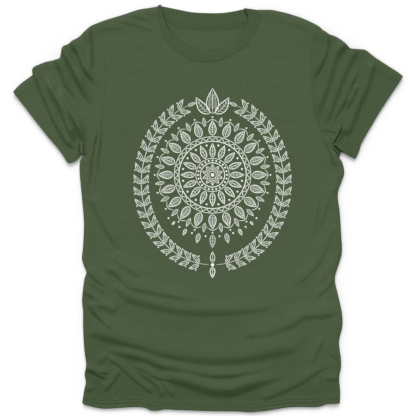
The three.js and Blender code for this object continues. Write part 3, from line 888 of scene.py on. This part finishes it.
# The rosette, from its middle outwards.
dot(ROSETTE, 3.2)
ring(6.6, PLAIN)
for i in range(10):
    leaf(polar(8.0, i * 36), polar(19.0, i * 36), 0.25, ribs=0)
ring(21.5, BOLD)
for i in range(24):
    dot(polar(25.6, i * 15), 1.7)
ring(29.4, PLAIN)
for i in range(16):
    leaf(polar(31.0, i * 22.5), polar(56.0, i * 22.5), 0.185, BOLD, ribs=3)
    dot(polar(53.0, (i + 0.5) * 22.5), 1.8)
ring(59.5, BOLD)
ink([polar(61.0 + 5.0 * (i % 2), i * 5) for i in range(73)], 1.1, 0)
ring(67.6, PLAIN)
for i in range(20):
    leaf(polar(69.5, i * 18), polar(96.0, i * 18), 0.24, BOLD, ribs=4, inner=0.58)
    leaf(polar(86.0, (i + 0.5) * 18), polar(103.0, (i + 0.5) * 18), 0.16, ribs=0)
    ink([polar(98.0 - abs(j) ** 1.5, i * 18 + 2.1 * j) for j in range(-3, 4)], PLAIN)
    dot(polar(102.2, i * 18), 1.5)

# Drops under the rosette, and the wreath with its crest and pendant.
for i in range(4):
    leaf(polar(106, 180 - i * 13), polar(129 - 5 * i, 180 - i * 13), 0.2, ribs=3, mirrored=i > 0)
    dot(polar(109, 173.5 - i * 13), 1.6, mirrored=True)
dot((0, -145), 3.0)
leaf((0, -141), (0, -121), 0.2, ribs=2)
leaf((0, -149), (0, -168), 0.22, BOLD, ribs=2)
leaf((0, 122), (0, 167), 0.24, BOLD, ribs=6, inner=0.6)
leaf((5, 122), (29, 151), 0.2, BOLD, ribs=4, bend=-0.08, mirrored=True)
turns = np.radians(np.linspace(3, 160, LEAF_PAIRS))
stem = np.column_stack([WREATH_HALF[0] * np.sin(turns), -WREATH_HALF[1] * np.cos(turns)])
ink(stem, PLAIN, 0.2, mirrored=True)
leaf(stem[-1], stem[-1] + (-13.5, 5.5), 0.17, ribs=0, mirrored=True)
for i in range(1, LEAF_PAIRS - 1):
    ahead = (stem[i + 1] - stem[i - 1]) / np.linalg.norm(stem[i + 1] - stem[i - 1])
    aside = np.array((-ahead[1], ahead[0]))
    for side in (-1, 1):
        tip = stem[i] + 21 * (0.78 * ahead + 0.62 * side * aside)
        leaf(stem[i] + 1.5 * side * aside, tip, 0.17, ribs=2, bend=0.06 * side, mirrored=True)
        dot(stem[i] + 3 * ahead + side * 12.5 * aside, 1.2, mirrored=True)

points, faces = [], []
for number, (line, half) in enumerate(strokes):
    if len(line) == 2:
        line = np.linspace(line[0], line[1], 4)
        half = np.interp(np.linspace(0, 1, 4), (0, 0.5, 1), (half[0], half.max() * 1.5, half[-1]))
    closed = np.allclose(line[0], line[-1])
    if closed:
        line, half = np.vstack([line[-2:-1], line, line[1:2]]), np.pad(half, 1, mode="edge")
    left, right = (offset_line(line, half * side) / 1000 + PRINT_MIDDLE for side in (1, -1))
    if closed:
        left, right = left[1:-2], right[1:-2]
    first = len(points)
    above = INK_ABOVE + INK_LAP * (number % 3)
    for (x0, y0), (x1, y1), z0, z1 in zip(left, right, front_top(left), front_top(right)):
        points += [(x0, y0, z0 + above), (x1, y1, z1 + above)]
        points += [(x1, y1, z1 - INK_BELOW), (x0, y0, z0 - INK_BELOW)]
    faces += tube(len(left), 4, first, closed)


def ink_material():
    """Matt ink, a little thinner here and there where the knit shows through."""
    material, nodes, links, shader = new_material("ink", 0.85, 0.2)
    place = nodes.new("ShaderNodeTexCoord")
    wear = nodes.new("ShaderNodeTexNoise")
    wear.inputs["Scale"].default_value = 900
    wear.inputs["Detail"].default_value = 3
    shades = nodes.new("ShaderNodeValToRGB")
    for stop, position, share in zip(shades.color_ramp.elements, (0.30, 0.55), (0.72, 1)):
        stop.position = position
        stop.color = (*(c * share for c in INK_WHITE), 1)
    knit = nodes.new("ShaderNodeBump")
    knit.inputs["Strength"].default_value = 0.3
    knit.inputs["Distance"].default_value = 0.0002
    links.new(place.outputs["Object"], wear.inputs["Vector"])
    links.new(wear.outputs["Fac"], shades.inputs["Fac"])
    links.new(wear.outputs["Fac"], knit.inputs["Height"])
    links.new(shades.outputs["Color"], shader.inputs["Base Color"])
    links.new(knit.outputs["Normal"], shader.inputs["Normal"])
    return material


front_print = add_piece("front_print_ink", np.array(points), faces, ink_material())
front_print.data.shade_flat()
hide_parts("front_print")


# ---- Sleeves ----
# Each is one piece of jersey sewn into a tube, set into the armhole and hemmed. Pressed flat, its two
# layers crease together in lines that run from the top fold to the underarm.
LOWER_SHARE = 0.25  # how much of a crease the lower layer takes up
ARMHOLE_RIDGE = (0.00025, 0.0045, 0.003)  # height, distance from the seam and breadth
SLEEVE_ROLL_GROWTH = 0.25
SLEEVE_COURSES = math.radians(52)
# Painted light and shade: the same jersey in two greens, the right sleeve's slightly lighter and the
# left's clearly darker than the body's, for the light that falls differently on them.
RIGHT_SLEEVE_LIT_GREEN = (0.0678, 0.0996, 0.0482)
LEFT_SLEEVE_SHADED_GREEN = (0.0596, 0.0911, 0.0428)

LEFT_SLEEVE_TOP = [
    (-.202, .325), (-.209, .321), (-.219, .312), (-.23, .3015), (-.244, .292), (-.253, .287),
    (-.2575, .281), (-.2605, .27), (-.262, .2645), (-.271, .262), (-.287, .2588), (-.301, .253),
    (-.309, .247), (-.3105, .241), (-.3102, .2362), (-.318, .23), (-.332, .2195), (-.345, .206),
]
LEFT_SLEEVE_HEM = [(-.345, .206), (-.320, .1735), (-.287, .1310), (-.263, .1025), (-.248, .080)]
LEFT_UNDERARM = [
    (-.248, .08), (-.242, .08), (-.234, .084), (-.2285, .0888), (-.226, .0935), (-.219, .092),
]
RIGHT_SLEEVE_TOP = [
    (.196, .322), (.211, .309), (.223, .305), (.235, .298), (.25, .284), (.257, .2815), (.273, .281),
    (.28, .279), (.294, .268), (.315, .254), (.336, .2405), (.345, .233),
]
RIGHT_SLEEVE_HEM = [
    (.345, .233), (.329, .209), (.306, .174), (.289, .1455), (.2715, .115), (.268, .103), (.261, .088),
]
RIGHT_UNDERARM = [
    (.261, .088), (.257, .0885), (.244, .0955), (.237, .099), (.234, .097), (.232, .089),
]


def sew_sleeve(name, node, edges, green, courses):
    """A closed tube of two layers that meet at its top fold and underarm, with its hem stitches."""
    spots, triangles, lines = cut_out(edges, fold_spots)
    top_gap = np.minimum(nearest_on(spots, lines["top"])[0], nearest_on(spots, lines["underarm"])[0])
    hem_gap, hem_run, _ = nearest_on(spots, lines["hem"])
    seam_gap = nearest_on(spots, lines["armhole"])[0]
    upper = upper_layer(spots) + hem_relief(hem_gap, hem_run, 0.4)
    upper -= SEAM_GROOVE * (1 - rounded(seam_gap, GROOVE_BREADTH))
    ridge, ridge_place, ridge_breadth = ARMHOLE_RIDGE
    upper += ridge * np.exp(-(((seam_gap - ridge_place) / ridge_breadth) ** 2))
    lower = LOWER_SHARE * fold_heights(spots) * (1 - np.exp(-seam_gap / 0.02))
    upper += edge_puff(spots, lines["top"], 0.6)
    middle = lower + (upper - lower) * SIDE_LEVEL / LAYER_TOP
    round_over = rounded(top_gap, FRONT_ROLL + SLEEVE_ROLL_GROWTH * (upper - lower - LAYER_TOP).clip(0))
    upper = middle + (upper - middle) * round_over
    lower = middle - (middle - lower) * round_over

    shared = top_gap < 1e-6
    count = len(spots)
    under = np.where(shared, np.arange(count), np.arange(count) + count)
    points = np.vstack([np.column_stack([spots, upper]), np.column_stack([spots, lower])])
    faces = np.vstack([triangles, under[triangles[:, ::-1]]])
    used, faces = np.unique(faces, return_inverse=True)
    faces = faces.reshape(-1, 3)
    thickness = np.tile(JERSEY * (1 + within(hem_gap, HEM_DEPTH)), 2)[used]
    points, faces = thickened(points[used], faces, thickness)
    sleeve = add_piece(name, points, faces, jersey_material(name + "_jersey", green, courses))
    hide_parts(node)
    rows = [offset_line(lines["hem"], row) for row in HEM_STITCH_ROWS]
    hem_stitches = sew(name.replace("cloth", "hem_stitches"), rows, top_surface(points, faces))


sew_sleeve(
    "sleeve_right_cloth",
    "sleeve_right",
    [
        ("armhole", LEFT_ARMHOLE[::-1], SEAM_ROWS),
        ("top", LEFT_SLEEVE_TOP, FOLD_ROWS),
        ("hem", LEFT_SLEEVE_HEM, HEM_ROWS),
        ("underarm", LEFT_UNDERARM, FOLD_ROWS[:3]),
    ],
    RIGHT_SLEEVE_LIT_GREEN,
    SLEEVE_COURSES,
)
sew_sleeve(
    "sleeve_left_cloth",
    "sleeve_left",
    [
        ("armhole", RIGHT_ARMHOLE[::-1], SEAM_ROWS),
        ("underarm", RIGHT_UNDERARM[::-1], FOLD_ROWS[:3]),
        ("hem", RIGHT_SLEEVE_HEM[::-1], HEM_ROWS),
        ("top", RIGHT_SLEEVE_TOP[::-1], FOLD_ROWS),
    ],
    LEFT_SLEEVE_SHADED_GREEN,
    -SLEEVE_COURSES,
)


# ---- Neckband ----
# A ring of folded 1x1 rib, its fold at the neck opening and its raw edges in the neck seam. Lying flat,
# it turns over at both shoulders, so its front half lies on top of its back half.
RIB_THICKNESS = 0.0014
BAND_FRONT_LEVEL = 0.0053  # middle of the band's thickness
BAND_BACK_LEVEL = 0.0010
RIB_PITCH = 0.0016
RIB_DEPTH = 0.00010

FRONT_NECK_EDGE = [
    (-.0835, .3585), (-.0776, .336), (-.0658, .312), (-.044, .29), (-.013, .277), (.014, .277),
    (.044, .289), (.062, .309), (.0715, .335), (.064, .353),
]
BACK_NECK_EDGE = [
    (-.0835, .3585), (-.057, .353), (-.028, .3475), (.0, .346), (.025, .3462), (.045, .349), (.055, .351),
    (.064, .353),
]
BAND_ENDS = [(-.0896, .3552), (.0893, .3494)]  # where the seam turns over at the shoulders
# How far the band bulges out there, in half the gap between its front and back, along x and y.
LEFT_BULGE, RIGHT_BULGE = (0.0, 1.0), (0.05, 0.5)
BAND_STEP = 0.0008
FRONT_STATIONS, BACK_STATIONS, TURN_STATIONS = 840, 560, 11
# Across the band from the seam to the fold: share of its width, and height in half thicknesses.
BAND_SECTION = [
    (.00, .70), (.04, .80), (.12, .92), (.30, 1.05), (.50, 1.1), (.70, 1.08), (.88, .98),
    (.96, .75), (1.0, .35), (1.0, -.35), (.96, -.75), (.88, -.95), (.70, -1.0), (.50, -1.0),
    (.30, -1.0), (.12, -1.0), (.03, -.97), (.00, -.85),
]
front_band_seam = BAND_ENDS[:1] + FRONT_NECK_SEAM[1:-1] + BAND_ENDS[1:]
back_band_seam = BAND_ENDS[1:] + BACK_NECK_SEAM[-2:0:-1] + BAND_ENDS[:1]


def band_stations():
    """Seam point, fold point and the way the outside faces, for stations round the ring."""
    stations = []

    def run_along(seam, edge, count, level, outside):
        seam, edge = (spaced(smooth_line(line, BAND_STEP), count) for line in (seam, edge))
        for s, e in zip(seam, edge):
            stations.append((np.append(s, level), np.append(e, level), np.array(outside, float)))

    def turn_over(seam_point, edge_point, away, start_level, end_level):
        middle, drop = (start_level + end_level) / 2, (start_level - end_level) / 2
        away = np.array(away)
        for turn in np.linspace(0, np.pi, TURN_STATIONS)[1:-1]:
            shift = np.append(away * abs(drop) * math.sin(turn), middle + drop * math.cos(turn))
            facing = np.append(away * math.sin(turn), math.copysign(1, drop) * math.cos(turn))
            seam, edge = np.append(seam_point, 0) + shift, np.append(edge_point, 0) + shift
            stations.append((seam, edge, facing))

    run_along(front_band_seam, FRONT_NECK_EDGE, FRONT_STATIONS, BAND_FRONT_LEVEL, (0, 0, 1))
    turn_over(BAND_ENDS[1], FRONT_NECK_EDGE[-1], RIGHT_BULGE, BAND_FRONT_LEVEL, BAND_BACK_LEVEL)
    run_along(back_band_seam, BACK_NECK_EDGE[::-1], BACK_STATIONS, BAND_BACK_LEVEL, (0, 0, -1))
    turn_over(BAND_ENDS[0], FRONT_NECK_EDGE[0], LEFT_BULGE, BAND_BACK_LEVEL, BAND_FRONT_LEVEL)
    return stations


stations = band_stations()
middles = np.array([(seam + edge) / 2 for seam, edge, outside in stations])
band_run = run_of(middles)
points = []
for (seam, edge, outside), run in zip(stations, band_run):
    wave = math.cos(2 * math.pi * run / RIB_PITCH)
    for share, rise in BAND_SECTION:
        ribbed = RIB_DEPTH * wave * min(1, 6 * share, 6 * (1.02 - share)) * (rise > 0)
        points.append(seam + (edge - seam) * share + outside * (rise * RIB_THICKNESS / 2 + ribbed))
faces = tube(len(stations), len(BAND_SECTION), closed=True, flipped=True)
RIB_GREEN = (0.0582, 0.0893, 0.0423)
rib = jersey_material("rib", RIB_GREEN, bump=0.25, loop_share=0.2)
points = np.array(points)
inner = points[:, 2] < (BAND_FRONT_LEVEL + BAND_BACK_LEVEL) / 2
points[inner, 2] += neck_gather(points[inner, :2])
neckband = add_piece("neckband_rib", points, faces, rib)
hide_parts("neckband")


# ---- Neck tape ----
# A narrow strip of the body's jersey, laid over the back neck seam on the inside so that it doesn't
# rub, and held by a row of stitches along each edge.
TAPE_WIDTH = 0.0105
TAPE_TOP = 0.00162  # height of its face at the seam
TAPE_FOOT = 0.00102  # height of its face at its lower edge
TAPE_UNDERSIDE = 0.0004
TAPE_LAP = 0.0003  # how far it reaches over the seam
TAPE_STITCH_ROWS = (0.14, 0.86)  # shares of its width

tape_upper = smooth_line([(x, y + TAPE_LAP) for x, y in BACK_NECK_SEAM[1:-1]], BAND_STEP)
# Across the tape: share of its width, and height of that point above the tape's underside.
TAPE_SECTION = [(0, 0)] + [(i / 10, 1) for i in range(8)] + [(.85, .93), (1, .6), (1, 0)]
points = []
for x, y in tape_upper:
    for share, rise in TAPE_SECTION:
        face = TAPE_TOP + (TAPE_FOOT - TAPE_TOP) * share
        points.append((x, y - share * TAPE_WIDTH, TAPE_UNDERSIDE + rise * (face - TAPE_UNDERSIDE)))
points = np.array(points)
points[:, 2] += neck_gather(points[:, :2])
faces = tube(len(tape_upper), len(TAPE_SECTION))
neck_tape = add_piece("neck_tape_strip", points, faces, jersey_material("tape", RIB_GREEN, bump=0.3))
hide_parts("neck_tape")
tape_stitches = sew(
    "neck_tape_stitches",
    [tape_upper - (0, TAPE_WIDTH * share) for share in TAPE_STITCH_ROWS],
    top_surface(points, faces),
)


# ---- Table, light and camera ----
# The shirt lies on white paper. A broad soft light shines from beyond the neck and a wider one from
# above, and the camera looks straight down.
REACH = 14  # half the breadth of the paper
floor_mesh = bpy.data.meshes.new("floor")
corners = [(-REACH, -REACH, 0), (REACH, -REACH, 0), (REACH, REACH, 0), (-REACH, REACH, 0)]
floor_mesh.from_pydata(corners, [], [(0, 1, 2, 3)])
floor = bpy.data.objects.new("floor", floor_mesh)
bpy.context.scene.collection.objects.link(floor)
paper, _, _, shader = new_material("white_paper", 0.9)
shader.inputs["Base Color"].default_value = (0.95, 0.95, 0.95, 1)
floor_mesh.materials.append(paper)

world = bpy.data.worlds.new("studio")
bpy.context.scene.world = world
world.use_nodes = True
world.node_tree.nodes["Background"].inputs["Color"].default_value = (1, 1, 1, 1)
world.node_tree.nodes["Background"].inputs["Strength"].default_value = 0.36


def far_light(name, towards, strength, spread):
    """An even light from a direction, as wide as that angle."""
    lamp = bpy.data.lights.new(name, "SUN")
    lamp.energy = strength
    lamp.angle = math.radians(spread)
    light = bpy.data.objects.new(name, lamp)
    light.rotation_euler = (-Vector(towards)).to_track_quat("-Z", "Y").to_euler()
    bpy.context.scene.collection.objects.link(light)


far_light("key", (0.01, 0.79, 0.61), 1.95, 36)
far_light("overhead", (-0.32, 0.26, 0.91), 1.10, 100)

VIEW_WIDTH = 0.7363  # breadth that the picture takes in at the height of the cloth's edges
EDGE_HEIGHT = 0.0035
camera_data = bpy.data.cameras.new("camera")
camera_data.lens = 85
camera_data.sensor_width = 36
camera = bpy.data.objects.new("camera", camera_data)
camera.location = (0, 0.0005, EDGE_HEIGHT + VIEW_WIDTH * camera_data.lens / camera_data.sensor_width)
bpy.context.scene.collection.objects.link(camera)
bpy.context.scene.camera = camera
bpy.context.scene.view_settings.view_transform = "Standard"
